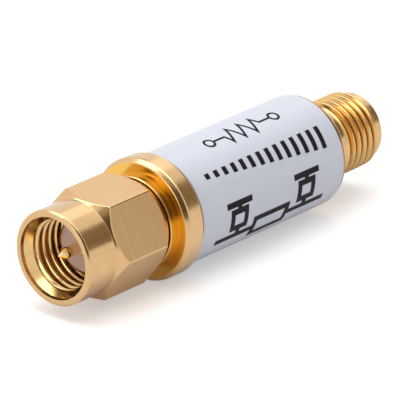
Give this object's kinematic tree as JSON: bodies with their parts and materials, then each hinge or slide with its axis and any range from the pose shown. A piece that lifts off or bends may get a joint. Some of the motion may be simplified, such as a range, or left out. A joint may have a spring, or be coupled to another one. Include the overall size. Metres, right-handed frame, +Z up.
{
  "type": "rf attenuator",
  "caption": "Fixed in-line coaxial attenuator with a hexagon coupling nut on its plug, a round labelled barrel and a threaded jack.",
  "frame": {"origin": "on the common axis, at the plug's mating plane (front face of its outer conductor)", "axes": "+X along the common axis from the plug to the jack, +Z up"},
  "size_m": [0.0364, 0.01, 0.01],
  "materials": {
    "gold_plate": "gold plated brass, turned and milled, satin bright",
    "contact_gold": "gold plated spring copper alloy, bright",
    "spring_bronze": "bare spring bronze",
    "clamp_brass": "bare turned brass",
    "insulator": "machined fluoropolymer, waxy",
    "label_film": "white polyester film, satin",
    "card_ceramic": "fired alumina",
    "terminal_silver": "printed and fired silver film",
    "resistor_film": "printed and fired resistor film",
    "glaze": "fired overglaze"
  },
  "bodies": {
    "attenuator": {"barrel": "gold_plate", "plug_shell": "gold_plate", "centre_pin": "contact_gold", "front_insulator": "insulator", "label": "label_film", "upper_ground_clamp": "clamp_brass", "lower_ground_clamp": "clamp_brass", "attenuator_card": "card_ceramic", "input_terminal": "terminal_silver", "output_terminal": "terminal_silver", "ground_terminals": "terminal_silver", "series_resistor": "resistor_film", "input_shunt_resistors": "resistor_film", "output_shunt_resistors": "resistor_film", "resistor_glaze": "glaze", "socket_contact": "contact_gold", "rear_insulator": "insulator"},
    "retaining_ring": {"retaining_ring": "spring_bronze"},
    "coupling_nut": {"coupling_nut": "gold_plate"}
  },
  "joints": [
    {"name": "nut_float", "type": "slide", "parent": "attenuator", "child": "retaining_ring", "axis": [-1, 0, 0], "range_m": [0, 0.0004]},
    {"name": "nut_turn", "type": "hinge", "parent": "retaining_ring", "child": "coupling_nut", "pos_m": [0, 0, 0], "axis": [1, 0, 0], "continuous": true}
  ]
}
